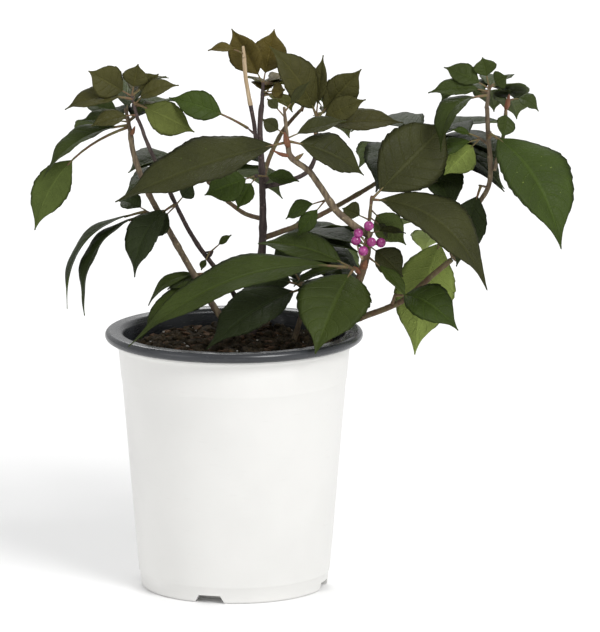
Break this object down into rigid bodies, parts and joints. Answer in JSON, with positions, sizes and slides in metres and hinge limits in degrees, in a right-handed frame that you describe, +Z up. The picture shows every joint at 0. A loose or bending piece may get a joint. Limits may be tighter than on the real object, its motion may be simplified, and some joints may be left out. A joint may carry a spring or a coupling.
{
  "type": "potted beautyberry shrub",
  "caption": "Young beautyberry shrub with leaning stems, opposite leaves and violet berries in a round white nursery pot.",
  "frame": {"origin": "centre of the pot's flat underside, on the pot's axis", "axes": "+Z up along the pot's axis, +X to the right and +Y away from the side that the plant is looked at from"},
  "size_m": [0.2411, 0.1767, 0.2497],
  "materials": {
    "pot": "satin",
    "rim": "satin",
    "soil": "loose",
    "bark": "matte",
    "leaf": "satin",
    "berry": "gloss"
  },
  "bodies": {
    "root": {"pot": "pot", "pot_rim": "rim", "soil": "soil", "stem_centre": "bark", "stem_left_outer": "bark", "stem_left_inner": "bark", "stem_front": "bark", "bough_diagonal": "bark", "stem_right_low": "bark", "bough_right_upright": "bark", "bough_right_thin": "bark", "bough_mid_right": "bark", "bough_top_left": "bark", "stem_centre_low": "bark", "bough_back_right": "bark", "bough_back_top": "bark", "stem_back": "bark", "bough_back_left": "bark", "leaves_berry_shoot": "leaf", "berry_cluster": "berry", "leaves_front_node": "leaf", "leaves_front_low": "leaf", "leaves_diagonal_tip": "leaf", "leaves_diagonal_under": "leaf", "leaves_left_outer_crown": "leaf", "leaves_left_inner_crown": "leaf", "leaves_top_left": "leaf", "leaf_top_left_side": "leaf", "leaves_top_crown": "leaf", "leaves_mid_right_crown": "leaf", "leaves_centre_ring": "leaf", "leaves_left_outer_side": "leaf", "leaves_left_inner_side": "leaf", "leaves_left_low": "leaf", "leaves_left_inner_small": "leaf", "leaves_centre_low": "leaf", "leaves_right_low": "leaf", "leaves_right_elbow": "leaf", "leaf_right_hanging": "leaf", "leaves_right_node": "leaf", "leaf_right_large": "leaf", "leaves_right_crown": "leaf", "leaves_right_thin_crown": "leaf", "leaves_back_right": "leaf", "leaves_back_top": "leaf", "leaves_back_middle": "leaf", "leaves_back_left": "leaf"}
  },
  "joints": []
}
